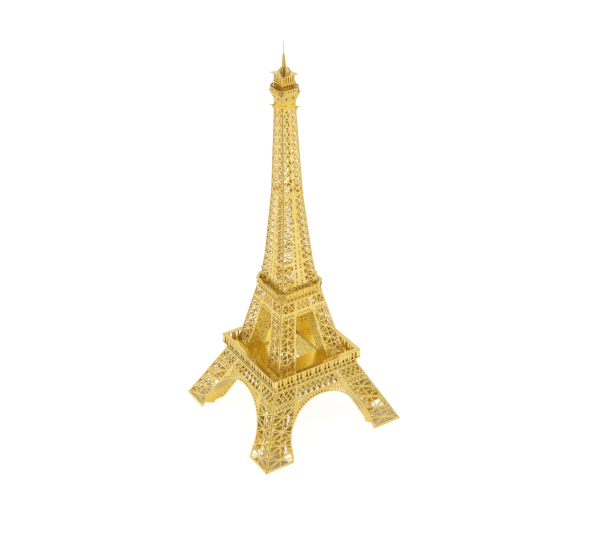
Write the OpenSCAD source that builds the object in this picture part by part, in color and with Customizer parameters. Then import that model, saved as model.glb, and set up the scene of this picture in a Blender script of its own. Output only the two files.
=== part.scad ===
// Miniature lattice tower, assembled from thin etched and folded sheets.
// Millimetres. Z up, origin on the ground under the middle of the tower.
// Four legs stand on z = 0. Face 0 looks along -Y, and faces 1, 2 and 3 follow counterclockwise.

/* [Sheet metal] */
// Thickness of every etched sheet
sheet = 0.3; // [0.25:0.05:0.4]
// Width of one lattice strut
strut = 0.5; // [0.4:0.05:0.6]
// Width of a thin brace across a lattice bay
brace = 0.4; // [0.3:0.05:0.5]
// Width of a strut in the sheets that close the legs towards the axis
inner_strut = 1.2; // [0.8:0.1:1.5]
// Width of the plain strip along a fold or a free edge
post = 1.0; // [0.8:0.1:1.3]
// Width of a plain bar between two rows of lattice
bar = 0.8; // [0.6:0.1:1]
// Hairline left along a half-etched fold line
fold_gap = 0.03; // [0.02:0.01:0.06]
// Clearance where a sheet's edge stops against a sloping sheet
seat_gap = 0.05; // [0.03:0.01:0.1]

/* [Feet, arches and first frieze] */
// Width of the tower across its feet
base_width = 88; // [72:1:108]
// Width across the top of the first stage
pier_top_width = 52.5; // [44:0.5:63]
// Width of a leg where it meets the ground
foot_width = 15.5; // [12.5:0.5:19]
// Width of a leg at the top of the first stage
pier_top_leg = 14; // [11.5:0.5:17]
// Height of the four star bays of a leg
star_height = 26; // [21.5:0.5:31.5]
// Height of the row of small triangles above the bays
row_height = 2.3; // [1.8:0.1:3]
// Height of the diamond frieze at the top of the first stage
frieze_height = 7.2; // [5.8:0.1:9]
// How far an arch reaches inside the leg's edge at its springing
arch_setback = 3.05; // [1:0.05:4]
// Height along the leaning face at which an arch springs
arch_spring = 3.9; // [2:0.1:6]
// Inward flare of an arch's edge down at the ground
foot_flare = 1; // [0:0.1:2]
// Depth of the perforated arch band
arch_band = 2; // [1.6:0.1:2.6]
// Depth of the plain curved strip behind an arch
soffit_depth = 6.2; // [4:0.1:8]

/* [First gallery] */
// Height of the first cornice
cornice_height = 3.4; // [2.6:0.1:4.5]
// How far the first cornice leans out
cornice_lean = 0.5; // [0.2:0.1:1]
// How far the first parapet stands out past its cornice
gallery_reach = 0.85; // [0.7:0.05:1.5]
// Height of the first gallery's parapet
gallery_height = 5.2; // [4.2:0.1:6.4]
// Width of the flat rail on the first parapet
gallery_rail = 2.2; // [1.2:0.1:3]
// Number of slot pairs on each side of the first parapet
gallery_pairs = 9; // [5:1:11]
// Height of the deck above the foot of the parapet
deck_rise = 2; // [1.2:0.1:3]
// Width of the open deck between the rail and the second-stage legs
walkway = 3.9; // [2:0.1:5]
// How far the well in the deck reaches past the inner corners of those legs
well_reach = 0.7; // [0:0.1:1.5]

/* [Second stage] */
// Height of the opening between two second-stage legs
window_height = 29.7; // [24.5:0.1:36]
// Height of the beams above that opening
beam_height = 8.7; // [7.2:0.1:10.5]
// Width across the top of the second stage
stage_top_width = 25.8; // [21.4:0.2:31]
// Width of a second-stage leg at the deck
stage_leg = 11.1; // [9.2:0.1:13.4]
// Width of a second-stage leg at its top
stage_top_leg = 9.1; // [7.5:0.1:10]

/* [Second gallery] */
// Height of the second cornice
upper_cornice_height = 3.6; // [2.8:0.1:4.5]
// How far the second cornice leans out
upper_cornice_lean = 0.5; // [0.2:0.1:0.8]
// How far the second parapet stands out past its cornice
upper_reach = 0.9; // [0.7:0.05:1.5]
// Height of the second gallery's parapet
upper_gallery_height = 2.7; // [2:0.1:3.5]
// Corner chamfer of the second gallery
upper_chamfer = 4; // [2.5:0.1:5]
// Width of the rail on the second parapet
upper_rail = 1.2; // [0.8:0.1:1.6]
// Gap between that rail and the shaft
upper_walkway = 1.6; // [0.8:0.1:2.4]

/* [Shaft] */
// Height above the second deck at which the shaft's slope changes
bend_height = 16.8; // [14:0.1:20.2]
// Height of the lower shaft above that bend
shaft_rise = 38.55; // [32:0.05:46.5]
// Width of the shaft where its slope changes
bend_width = 18.6; // [15.4:0.2:22.4]
// Width of the shaft at the splice
splice_width = 12; // [10:0.1:14.4]
// Height of the upper shaft
upper_shaft_height = 48.05; // [40:0.05:58]
// Width of the shaft at its top
shaft_top_width = 8.1; // [6.8:0.1:9.7]
// How far the four spikes reach past the shaft's corners
spike_reach = 1.7; // [1:0.1:2.5]

/* [Summit] */
// Height of the neck above the spikes
neck_height = 3.3; // [2.6:0.1:4]
// Height of the flared brackets under the summit gallery
bracket_height = 4.8; // [3.8:0.1:6]
// Width across the summit gallery
summit_width = 12.4; // [11.4:0.2:15]
// Corner chamfer of the summit gallery
summit_chamfer = 2.5; // [1.5:0.1:3]
// Height of the summit parapet
summit_parapet_height = 2.4; // [1.8:0.1:3]
// Width of the cabins on the summit
cabin_width = 7.7; // [6.4:0.1:9]
// Height of the lower cabin
cabin_height = 4.7; // [3.8:0.1:5.8]
// Height of the upper cabin
upper_cabin_height = 4.1; // [3.4:0.1:5]
// How far the roof plate's points stand out past the cabin
roof_reach = 1.2; // [0.9:0.1:1.5]
// Outer radius of the two crossing lantern arches
lantern_radius = 3.5; // [2.9:0.1:3.8]
// Width of a lantern strip
lantern_strip = 1.2; // [0.9:0.1:1.5]
// Height of the rolled spire cone
spire_height = 6.3; // [5:0.1:8]
// Radius at the foot of the spire cone
spire_radius = 1.1; // [0.9:0.05:1.3]
// Radius at the top of the spire cone
spire_tip_radius = 0.5; // [0.42:0.02:0.7]
// Length of the needle above the cone
needle_length = 7.25; // [5.5:0.05:9]
// Radius of the needle
needle_radius = 0.2; // [0.15:0.05:0.25]

/* [Hidden] */
$fn = 48;
FACES = [0, 1, 2, 3];
far = 80;                    // reach of a cutting wedge, past every edge
over = 2 * sheet;            // spare length that a level cut takes off
hole_min = 0.14;             // smallest inner radius worth etching
star_bays = 4;
pier_cells = 4;
span_cells = 8;
rosette_share = 0.145;       // radius of a rosette as a share of its row's height
diamond = 0.3;               // half-height of a frieze diamond as a share of its row

half = base_width / 2;
pier_top = pier_top_width / 2;
foot_in = half - foot_width;
pier_top_in = pier_top - pier_top_leg;
pier_height = star_height + row_height + frieze_height;
gallery_z = pier_height + cornice_height;
gallery_half = pier_top + cornice_lean + gallery_reach;
gallery_top = gallery_z + gallery_height;
deck_z = gallery_z + deck_rise;
stage_half = gallery_half - gallery_rail - walkway;
stage_height = window_height + beam_height;
stage_top = stage_top_width / 2;
stage_in = stage_half - stage_leg;
stage_top_in = stage_top - stage_top_leg;
stage_top_z = deck_z + stage_height;
upper_gallery_z = stage_top_z + upper_cornice_height;
upper_half = stage_top + upper_cornice_lean + upper_reach;
upper_deck_z = upper_gallery_z + sheet;
shaft_half = upper_half - upper_rail - upper_walkway;
bend_z = upper_deck_z + bend_height;
splice_z = bend_z + shaft_rise;
spike_z = splice_z + sheet + upper_shaft_height;
neck_z = spike_z + sheet;
bracket_z = neck_z + neck_height;
summit_z = bracket_z + bracket_height;
summit_floor = summit_z + sheet;
roof_z = summit_floor + cabin_height + upper_cabin_height;
lantern_z = roof_z + sheet;
spire_z = lantern_z + lantern_radius;
// The inner lantern arch just passes under the edges of the outer one.
lantern_inner = sqrt(pow(lantern_radius - sheet, 2) - pow(lantern_strip / 2, 2));

// ---- points and outlines ----

function unit(v) = v / norm(v);
function turned(v) = [-v[1], v[0]];
function mix(a, b, t) = a + (b - a) * t;
function next(p, i, step = 1) = p[(i + step + len(p)) % len(p)];
function twice_area(p) = sum([for (i = [0:len(p) - 1]) cross(p[i], next(p, i))]);
function outline_length(p) = sum([for (i = [0:len(p) - 1]) norm(next(p, i) - p[i])]);
function sum(v, i = 0) = i == len(v) ? 0 : v[i] + sum(v, i + 1);

// A cell's point may carry a third number, the width of the strut from it to the next point.
function flat(p) = [for (q = p) [q[0], q[1]]];
function strut_half(q, width) = (len(q) > 2 ? q[2] : width) / 2;

// One corner of a convex outline, moved in by da from the edge before it and by db from the next.
function inset_corner(before, at, after, da, db) =
    let (a = turned(unit(at - before)), b = turned(unit(after - at)), c = a * b)
    c > 0.999 ? at + a * da
    : at + (a * (da - db * c) + b * (db - da * c)) / (1 - c * c);
function inset(p, width) = let (f = flat(p)) [
    for (i = [0:len(p) - 1])
        inset_corner(next(f, i, -1), f[i], next(f, i),
            strut_half(next(p, i, -1), width), strut_half(p[i], width))
];

// Area that a cell's struts take along its edges.
function struts_area(p, width) = let (f = flat(p))
    sum([for (i = [0:len(p) - 1]) norm(next(f, i) - f[i]) * strut_half(p[i], width)]);

// A point inside the quad q = [low left, low right, top right, top left].
function at(q, s, t) = mix(mix(q[0], q[1], s), mix(q[3], q[2], s), t);
function part(q, s0, s1, t0, t1) = [at(q, s0, t0), at(q, s1, t0), at(q, s1, t1), at(q, s0, t1)];
function mirrored(cells) = [
    for (c = cells)
        [for (i = [len(c) - 1:-1:0])
            len(next(c, i, -1)) > 2 ? [-c[i][0], c[i][1], next(c, i, -1)[2]] : [-c[i][0], c[i][1]]]
];

// ---- lattice cells: each is the outline of one opening on the struts' centre lines ----

// The triangle between ray i of a ring and the next ray, which have their own widths.
function fan(ring, i, centre, rays) = let (b = next(ring, i))
    [ring[i], [b[0], b[1], rays[1]], [centre[0], centre[1], rays[0]]];

// Ten rays from the middle: a centre bar, four diagonals and four to the side posts.
function star_cells(q, wide = strut, thin = brace) = let (
    ring = [
        at(q, 0, 0), at(q, 0.5, 0), at(q, 1, 0), at(q, 1, 0.25), at(q, 1, 0.75),
        at(q, 1, 1), at(q, 0.5, 1), at(q, 0, 1), at(q, 0, 0.75), at(q, 0, 0.25)
    ])
    [for (i = [0:9]) fan(ring, i, at(q, 0.5, 0.5), [for (j = [i, i + 1]) j % 5 == 1 ? wide : thin])];

function cross_cells(q, thin = brace) = [for (i = [0:3]) fan(q, i, at(q, 0.5, 0.5), [thin, thin])];

function cross_column(q, n, thin = brace) =
    [for (i = [0:n - 1]) each cross_cells(part(q, 0, 1, i / n, (i + 1) / n), thin)];

// A row of small triangles, standing and hanging in turn.
function zigzag_cells(q, n) = [
    for (i = [0:n - 1]) [at(q, i / n, 0), at(q, (i + 1) / n, 0), at(q, (i + 0.5) / n, 1)],
    for (i = [1:n - 1]) [at(q, i / n, 0), at(q, (i + 0.5) / n, 1), at(q, (i - 0.5) / n, 1)],
    [at(q, 0, 0), at(q, 0.5 / n, 1), at(q, 0, 1)],
    [at(q, 1, 0), at(q, 1, 1), at(q, 1 - 0.5 / n, 1)]
];

// Diamonds side by side, with triangles above and below and kites between them.
function frieze_cells(q, n) = let (up = 0.5 + diamond, down = 0.5 - diamond) [
    for (i = [0:n - 1]) [at(q, (i + 0.5) / n, up), at(q, (i + 1) / n, 1), at(q, i / n, 1)],
    for (i = [0:n - 1]) [at(q, i / n, 0), at(q, (i + 1) / n, 0), at(q, (i + 0.5) / n, down)],
    for (i = [1:n - 1]) [at(q, i / n, 0.5), at(q, (i + 0.5) / n, up), at(q, i / n, 1), at(q, (i - 0.5) / n, up)],
    for (i = [1:n - 1]) [at(q, i / n, 0.5), at(q, (i - 0.5) / n, down), at(q, i / n, 0), at(q, (i + 0.5) / n, down)],
    [at(q, 0, 0.5), at(q, 0.5 / n, up), at(q, 0, 1)],
    [at(q, 0, 0), at(q, 0.5 / n, down), at(q, 0, 0.5)],
    [at(q, 1, 0.5), at(q, 1, 1), at(q, 1 - 0.5 / n, up)],
    [at(q, 1, 0), at(q, 1, 0.5), at(q, 1 - 0.5 / n, down)]
];

// One round hole in the middle of each frieze diamond.
module rosettes(q, n) {
    for (i = [0:n - 1])
        translate(at(q, (i + 0.5) / n, 0.5))
            circle(r = rosette_share * norm(q[3] - q[0]), $fn = 24);
}

// An etched sheet's flat pattern: the outline less its cells and any child shapes.
module etched(outline, cells, width = strut) {
    difference() {
        polygon(outline);
        for (c = cells)
            if ((twice_area(flat(c)) - struts_area(c, width)) / outline_length(flat(c)) > hole_min)
                polygon(inset(c, width));
        children();
    }
}

// ---- placing a flat pattern on a leaning face ----

function lean(w0, w1, h) = atan((w0 - w1) / h);
function along(w0, w1, h) = norm([w0 - w1, h]);

// The quarter of the tower that belongs to face 0, between two levels.
module wedge(z0, z1) {
    translate([0, -fold_gap, z0])
        linear_extrude(z1 - z0)
            polygon([[0, 0], [far, -far], [-far, -far]]);
}

// A flat pattern drawn in the plane of face 0, its thickness towards the axis,
// cut level at both ends and mitred at the tower's corners.
module face_sheet(w0, w1, z0, z1) {
    intersection() {
        wedge(z0, z1);
        translate([0, -w0, z0])
            rotate([90 - lean(w0, w1, z1 - z0), 0, 0])
                translate([0, 0, -sheet])
                    linear_extrude(sheet)
                        children();
    }
}

module on_face(k) {
    rotate([0, 0, 90 * k])
        children();
}

// Two sheets that meet in the fold along a leg's outer corner.
module corner_pair(k) {
    on_face(k) {
        children();
        mirror([1, -1, 0])
            children();
    }
}

// ---- first stage ----

pier_along = along(half, pier_top, pier_height);
star_along = star_height * pier_along / pier_height;
row_along = row_height * pier_along / pier_height;
frieze_foot = star_along + row_along + bar;
arch_half = foot_in - arch_setback;
arch_crown = frieze_foot - arch_band - strut / 2;
arch_rise = arch_crown - arch_spring;
arch_radius = (arch_half * arch_half + arch_rise * arch_rise) / (2 * arch_rise);
arch_centre = arch_crown - arch_radius;
soffit_start = asin(max(-1, (arch_spring - arch_centre) / arch_radius));

// The leg's straight inner edge, and the height at which the arch leaves it.
function inner_line(v) = mix(foot_in, pier_top_in, v / pier_along);
inner_slope = (foot_in - pier_top_in) / pier_along;
meet_b = foot_in * inner_slope + arch_centre;
meet_a = 1 + inner_slope * inner_slope;
meet_c = foot_in * foot_in + arch_centre * arch_centre - arch_radius * arch_radius;
arch_meet = (meet_b + sqrt(max(0, meet_b * meet_b - meet_a * meet_c))) / meet_a;

function arch_edge(v) =
    v < arch_spring ? mix(arch_half + foot_flare, arch_half, v / arch_spring)
    : sqrt(max(0, arch_radius * arch_radius - (v - arch_centre) * (v - arch_centre)));
function leg_edge(v) = v < arch_meet ? arch_edge(v) : inner_line(v);

// A quad of the leg's lattice on the face's left side, inside the plain strips.
function leg_quad(v0, v1) = let (strip = post - strut / 2, drop = (half - pier_top) / pier_along) [
    [-(half - drop * v0) + strip, v0], [-leg_edge(v0) - strip, v0],
    [-leg_edge(v1) - strip, v1], [-(half - drop * v1) + strip, v1]
];

module arch_opening() {
    translate([0, arch_centre])
        circle(r = arch_radius, $fn = 180);
    polygon([
        [-arch_half - foot_flare, -over], [arch_half + foot_flare, -over],
        [arch_half + foot_flare, 0], [arch_half, arch_spring],
        [-arch_half, arch_spring], [-arch_half - foot_flare, 0]
    ]);
}

module pier_pattern() {
    foot_bar = 1;
    wide = strut + 0.2;
    thin = brace + 0.15;
    bay = (star_along - foot_bar) / star_bays;
    frieze = leg_quad(frieze_foot, pier_along - post + strut / 2);
    start = arch_half - arch_band;
    cells = [
        for (i = [0:star_bays - 1])
            each star_cells(leg_quad(foot_bar + i * bay, foot_bar + (i + 1) * bay), wide, thin),
        each zigzag_cells(leg_quad(star_along + bar - strut, frieze_foot - bar + strut), 2 * pier_cells - 2),
        each frieze_cells(frieze, pier_cells)
    ];
    drop = (half - pier_top) / pier_along;
    // The leg keeps to its straight inner edge from where the arch sheet begins.
    start_v = pier_along * (foot_in - start) / (foot_in - pier_top_in);
    leave_v = min(start_v, arch_meet - 1);
    etched([
        [-half - drop * over, -over], [-start, -over], [-start, leave_v],
        if (start_v > leave_v) [-inner_line(leave_v), leave_v],
        [-inner_line(pier_along + over), pier_along + over],
        [-half + drop * (pier_along + over), pier_along + over]
    ], cells) {
        arch_opening();
        rosettes(frieze, pier_cells);
    }
}

module pier(k) {
    color("gold")
        corner_pair(k)
            face_sheet(half, pier_top, 0, pier_height)
                pier_pattern();
}

// The leg's inner side stands behind the curved strip of the arch and reaches up to the shelf.
shelf_in = mix(foot_in, pier_top_in, gallery_z / pier_height);
shelf_outer = mix(half, pier_top, gallery_z / pier_height);

// Star bays with wide struts, as on every sheet that closes a leg towards the axis.
function inner_cells(q) = let (rows = star_bays + 1) [
    for (i = [0:rows - 1])
        each star_cells(part(q, 0, 1, i / rows, (i + 1) / rows), inner_strut, inner_strut)
];

module pier_inner_pattern() {
    h = along(foot_in, shelf_in, gallery_z);
    back = soffit_depth * pier_along / pier_height + seat_gap;
    strip = post - strut / 2;
    low = [-half + back, -foot_in];
    top = [-mix(half, pier_top, gallery_z / pier_height) + back, -shelf_in];
    bays = [
        [low[0] + strip, post], [low[1] - strip, post],
        [top[1] - strip, h - post], [top[0] + strip, h - post]
    ];
    stretch = over / h;
    // Above the arch the sheet widens, right up to the back of the leg's outer sheet.
    wall = sheet * pier_along / pier_height + 2 * seat_gap;
    step = (arch_meet + 2 * sheet + 1) * pier_height / pier_along * h / gallery_z;
    function full(v) = -mix(half, shelf_outer, v / h) + wall;
    function narrow(v) = mix(low[0], top[0], v / h);
    wing = [
        [full(step + post) + strip, step + post], [narrow(step + post) - strip, step + post],
        [narrow(h - post) - strip, h - post], [full(h - post) + strip, h - post]
    ];
    etched([
        [low[0] - (top[0] - low[0]) * stretch, -over], [low[1] - (top[1] - low[1]) * stretch, -over],
        [top[1] + (top[1] - low[1]) * stretch, h + over], [full(h + over), h + over],
        [full(step), step], [narrow(step), step]
    ], concat(inner_cells(bays), cross_column(wing, 3, inner_strut)), inner_strut);
}

// A sheet on the inner side of a leg, its thickness away from the axis.
module inner_sheet(w0, w1, z0, z1) {
    intersection() {
        translate([-fold_gap, 0, z0])
            linear_extrude(z1 - z0)
                polygon([[0, 0], [-far, 0], [-far, -far]]);
        translate([0, -w0, z0])
            rotate([90 - lean(w0, w1, z1 - z0), 0, 0])
                linear_extrude(sheet)
                    children();
    }
}

module pier_inner(k) {
    color("goldenrod")
        corner_pair(k)
            inner_sheet(foot_in, shelf_in, 0, gallery_z)
                pier_inner_pattern();
}

// The sheet over the opening: a perforated band along the curve, and the corners above it.
module arch_pattern() {
    slot = 0.8;
    pitch = 1.8;
    slot_gap = 0.6;
    meet_angle = asin((arch_meet - arch_centre) / arch_radius) + 4;
    mid_radius = arch_radius + arch_band / 2;
    slots = floor((180 - 2 * meet_angle) * PI / 180 * mid_radius / pitch);
    top = frieze_foot;
    posts = 6;
    reach = inner_line(top) - post;
    inside = arch_radius + arch_band - strut;
    function rim(x) = [x, arch_centre + sqrt(max(0, inside * inside - x * x))];
    corner = [for (i = [0:posts - 1])
        let (x0 = reach * (0.4 + 0.1 * i), x1 = reach * (0.5 + 0.1 * i), y = top - bar + strut / 2)
        each [
            [rim(x0), rim(x1), [x0, y]],
            [rim(x1), [x1, y], [x0, y]]
        ]
    ];
    difference() {
        etched([
            [-inner_line(arch_meet - 1), arch_meet - 1], [inner_line(arch_meet - 1), arch_meet - 1],
            [inner_line(top), top], [-inner_line(top), top]
        ], concat(corner, mirrored(corner)))
            arch_opening();
        for (i = [0:slots - 1])
            translate([0, arch_centre])
                rotate(meet_angle + (i + 0.5) * (180 - 2 * meet_angle) / slots)
                    translate([arch_radius + slot_gap, -slot / 2])
                        square([arch_band - 2 * slot_gap, slot]);
    }
}

module arch(k) {
    color("gold")
        on_face(k)
            face_sheet(half, pier_top, 0, pier_height)
                arch_pattern();
}

// The plain strip curved under an arch, square to the leaning face.
module soffit(k) {
    color("darkgoldenrod")
        on_face(k)
            translate([0, -half, 0])
                rotate([90 - lean(half, pier_top, pier_height), 0, 0])
                    translate([0, arch_centre, -soffit_depth])
                        rotate([0, 0, soffit_start])
                            rotate_extrude(angle = 180 - 2 * soffit_start, $fn = 180)
                                translate([arch_radius, 0])
                                    square([sheet, soffit_depth - sheet]);
}

module frieze_pattern() {
    strip = post - strut / 2;
    low = frieze_foot;
    top = pier_along;
    q = [
        [-inner_line(low) + strut / 2, low + bar - strut], [inner_line(low) - strut / 2, low + bar - strut],
        [inner_line(top) - strut / 2, top - strip], [-inner_line(top) + strut / 2, top - strip]
    ];
    etched([
        [-inner_line(low), low], [inner_line(low), low],
        [inner_line(top + over), top + over], [-inner_line(top + over), top + over]
    ], frieze_cells(q, span_cells))
        rosettes(q, span_cells);
}

module frieze(k) {
    color("gold")
        on_face(k)
            face_sheet(half, pier_top, 0, pier_height)
                frieze_pattern();
}

// The sheet behind a frieze, which makes a box beam of it. It stands on the curved strip's back
// edge and holds the shelf up.
module girders() {
    low = arch_crown;
    h = along(half, shelf_outer, gallery_z);
    columns = 8;
    function reach(v) = inner_line(v) - seat_gap;
    quad = [
        [-reach(low) + post / 2, low + post / 2], [reach(low) - post / 2, low + post / 2],
        [reach(h) - post / 2, h - post / 2], [-reach(h) + post / 2, h - post / 2]
    ];
    cells = [
        for (i = [0:columns - 1])
            each cross_cells(part(quad, i / columns, (i + 1) / columns, 0, 1), inner_strut)
    ];
    color("goldenrod")
        for (k = FACES)
            on_face(k)
                intersection() {
                    linear_extrude(gallery_z)
                        polygon([[0, 0], [far, -far], [-far, -far]]);
                    translate([0, -half, 0])
                        rotate([90 - lean(half, pier_top, pier_height), 0, 0])
                            translate([0, 0, -soffit_depth - sheet])
                                linear_extrude(sheet)
                                    etched([
                                        [-reach(low), low], [reach(low), low],
                                        [reach(h + over), h + over], [-reach(h + over), h + over]
                                    ], cells, inner_strut);
                }
}

// ---- first gallery ----

// Round-headed slots side by side across a strip.
module arcade(width, foot, height, slots, slot) {
    pitch = width / slots;
    for (i = [0:slots - 1])
        translate([-width / 2 + (i + 0.5) * pitch, foot]) {
            translate([-slot / 2, 0])
                square([slot, height - slot / 2]);
            translate([0, height - slot / 2])
                circle(d = slot, $fn = 24);
        }
}

module trapezoid(low, top, h) {
    slope = (top - low) / h;
    polygon([
        [-low + slope * over, -over], [low - slope * over, -over],
        [top + slope * over, h + over], [-top - slope * over, h + over]
    ]);
}

module lower_cornice() {
    top = pier_top + cornice_lean;
    h = along(pier_top, top, cornice_height);
    slots = 17;
    slot = 1.5;
    color("goldenrod")
        for (k = FACES)
            on_face(k)
                face_sheet(pier_top, top, pier_height, gallery_z)
                    difference() {
                        trapezoid(pier_top, top, h);
                        arcade(2 * (pier_top - post), h * 0.16, h * 0.66, slots, slot);
                    }
}

module square_ring(outer, inner, z) {
    translate([0, 0, z])
        linear_extrude(sheet)
            difference() {
                square(2 * outer, center = true);
                square(2 * inner, center = true);
            }
}

module lower_shelf() {
    color("darkgoldenrod")
        square_ring(gallery_half - sheet, shelf_in + sheet, gallery_z);
}

// Upright strips that carry the deck, four near the parapet and four around the well.
module lower_deck_skirt() {
    inset_from_parapet = 2.6;
    color("darkgoldenrod")
        for (w = [gallery_half - inset_from_parapet, stage_in + well_reach + sheet], k = FACES)
            on_face(k)
                face_sheet(w, w, gallery_z + sheet, deck_z - sheet)
                    translate([-w, 0])
                        square([2 * w, deck_rise - 2 * sheet]);
}

module lower_deck() {
    color("goldenrod")
        square_ring(gallery_half - sheet, stage_in + well_reach, deck_z - sheet);
}

module lower_parapet() {
    h = gallery_height - sheet;
    module_w = 2 * (gallery_half - post) / gallery_pairs;
    slot = module_w * 0.22;
    slit = 0.25;
    rim = 0.6;
    slot_h = h - 2 * rim;
    color("gold")
        for (k = FACES)
            on_face(k)
                face_sheet(gallery_half, gallery_half, gallery_z, gallery_top - sheet)
                    difference() {
                        translate([-gallery_half, 0])
                            square([2 * gallery_half, h]);
                        for (i = [0:gallery_pairs - 1], s = [-1, 1])
                            translate([-gallery_half + post + (i + 0.5 + s * 0.19) * module_w - slot / 2, rim])
                                square([slot, slot_h]);
                        for (i = [1:gallery_pairs - 1])
                            translate([-gallery_half + post + i * module_w - slit / 2, rim])
                                square([slit, slot_h]);
                    }
}

module lower_rail() {
    color("gold")
        square_ring(gallery_half, gallery_half - gallery_rail, gallery_top - sheet);
}

// ---- second stage ----

stage_along = along(stage_half, stage_top, stage_height);
window_along = window_height * stage_along / stage_height;
stage_drop = (stage_half - stage_top) / stage_along;
beam_row = row_height + bar;

function stage_inner_line(v) = mix(stage_in, stage_top_in, v / stage_along);
function stage_quad(v0, v1) = let (strip = post - strut / 2) [
    [-stage_half + stage_drop * v0 + strip, v0], [-stage_inner_line(v0) - strip, v0],
    [-stage_inner_line(v1) - strip, v1], [-stage_half + stage_drop * v1 + strip, v1]
];
function beam_quad(v0, v1) = let (strip = strut / 2) [
    [-stage_inner_line(v0) + strip, v0], [stage_inner_line(v0) - strip, v0],
    [stage_inner_line(v1) - strip, v1], [-stage_inner_line(v1) + strip, v1]
];

module stage_pattern() {
    bay = (window_along - post) / star_bays;
    ear = 1.1;
    ear_v = window_along * 0.64;
    top = stage_along - post + strut / 2;
    cells = [
        for (i = [0:star_bays - 1]) each star_cells(stage_quad(post + i * bay, post + (i + 1) * bay)),
        each zigzag_cells(stage_quad(window_along + bar - strut, window_along + beam_row - bar), pier_cells),
        each cross_column(part(stage_quad(window_along + beam_row, top), 0, 0.5, 0, 1), 1),
        each cross_column(part(stage_quad(window_along + beam_row, top), 0.5, 1, 0, 1), 1)
    ];
    etched([
        [-stage_half - stage_drop * over, -over], [-stage_inner_line(-over), -over],
        [-stage_inner_line(stage_along + over), stage_along + over],
        [-stage_half + stage_drop * (stage_along + over), stage_along + over]
    ], cells);
    translate([-stage_inner_line(ear_v) - ear * 0.3, ear_v])
        circle(r = ear, $fn = 24);
}

module stage_leg_sheets(k) {
    color("gold")
        corner_pair(k)
            face_sheet(stage_half, stage_top, deck_z, stage_top_z)
                stage_pattern();
}

module stage_inner_pattern() {
    h = along(stage_in, stage_top_in, stage_height);
    wall = sheet * stage_along / stage_height + seat_gap;
    strip = post - strut / 2;
    low = [-stage_half + wall, -stage_in];
    top = [-stage_top + wall, -stage_top_in];
    bays = [
        [low[0] + strip, post], [low[1] - strip, post],
        [top[1] - strip, h - post], [top[0] + strip, h - post]
    ];
    stretch = over / h;
    etched([
        [low[0] - (top[0] - low[0]) * stretch, -over], [low[1] - (top[1] - low[1]) * stretch, -over],
        [top[1] + (top[1] - low[1]) * stretch, h + over], [top[0] + (top[0] - low[0]) * stretch, h + over]
    ], inner_cells(bays), inner_strut);
}

module stage_inner(k) {
    color("goldenrod")
        corner_pair(k)
            inner_sheet(stage_in, stage_top_in, deck_z, stage_top_z)
                stage_inner_pattern();
}

// The lattice beam that joins two legs above their opening.
module beam_pattern() {
    top = stage_along - post + strut / 2;
    cross_row = beam_quad(window_along + beam_row, top);
    columns = 3;
    cells = [
        each zigzag_cells(beam_quad(window_along + bar - strut / 2, window_along + beam_row - bar), pier_cells),
        for (i = [0:columns - 1]) each cross_cells(part(cross_row, i / columns, (i + 1) / columns, 0, 1))
    ];
    etched([
        [-stage_inner_line(window_along), window_along], [stage_inner_line(window_along), window_along],
        [stage_inner_line(stage_along + over), stage_along + over],
        [-stage_inner_line(stage_along + over), stage_along + over]
    ], cells);
}

module beam(k) {
    color("gold")
        on_face(k)
            face_sheet(stage_half, stage_top, deck_z, stage_top_z)
                beam_pattern();
}

// ---- second gallery ----

// Half-length of an octagon's side, for a half-width and a corner chamfer.
function side_half(w, chamfer) = w - chamfer;

module octagon(w, chamfer) {
    s = side_half(w, chamfer);
    polygon([[-s, -w], [s, -w], [w, -s], [w, s], [s, w], [-s, w], [-w, s], [-w, -s]]);
}

// Eight upright panels around an octagon, slotted in one row, each with its ends on the rays
// from the axis to the octagon's corners.
module octagon_panels(w, chamfer, z0, z1, slot, pitch) {
    s = side_half(w, chamfer);
    corner = (2 * w - chamfer) / sqrt(2);
    corner_s = chamfer / sqrt(2);
    for (k = [0:7])
        let (d = k % 2 == 0 ? w : corner, e = k % 2 == 0 ? s : corner_s)
            rotate([0, 0, 45 * k])
                intersection() {
                    translate([0, -fold_gap, z0])
                        linear_extrude(z1 - z0)
                            polygon([[0, 0], [2 * e, -2 * d], [-2 * e, -2 * d]]);
                    translate([0, -d + sheet, z0])
                        rotate([90, 0, 0])
                            linear_extrude(sheet)
                                slotted_strip(e, z1 - z0, slot, pitch);
                }
}

module slotted_strip(e, h, slot, pitch) {
    edge = 0.5;
    slots = floor((2 * e - edge) / pitch);
    difference() {
        translate([-e, 0])
            square([2 * e, h]);
        for (i = [0:slots - 1])
            translate([(i + 0.5 - slots / 2) * pitch - slot / 2, edge])
                square([slot, h - 2 * edge]);
    }
}

module octagon_ring(w, chamfer, band, z) {
    translate([0, 0, z])
        linear_extrude(sheet)
            difference() {
                octagon(w, chamfer);
                octagon(w - band, chamfer - band * (2 - sqrt(2)));
            }
}

module upper_cornice() {
    top = stage_top + upper_cornice_lean;
    cut = upper_half * 2 - upper_chamfer - sheet;
    h = along(stage_top, top, upper_cornice_height);
    slot = 1.15;
    slots = 9;
    plate_top = (2 * top - cut) / sqrt(2);
    plate_low = 0.4;
    d0 = (2 * stage_top - plate_low * sqrt(2)) / sqrt(2);
    d1 = cut / sqrt(2);
    color("goldenrod") {
        for (k = FACES)
            on_face(k)
                face_sheet(stage_top, top, stage_top_z, upper_gallery_z)
                    difference() {
                        trapezoid(stage_top - plate_low * sqrt(2) - fold_gap, cut - top - fold_gap, h);
                        arcade(2 * (cut - top) - 2 * post, h * 0.16, h * 0.7, slots, slot);
                    }
        for (k = FACES)
            rotate([0, 0, 90 * k + 45])
                intersection() {
                    translate([-far, -far, stage_top_z])
                        cube([2 * far, 2 * far, upper_cornice_height]);
                    translate([0, -d0, stage_top_z])
                        rotate([90 - lean(d0, d1, upper_cornice_height), 0, 0])
                            translate([0, 0, -sheet])
                                linear_extrude(sheet)
                                    trapezoid(plate_low - sheet, plate_top - sheet, h);
                }
    }
}

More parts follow.
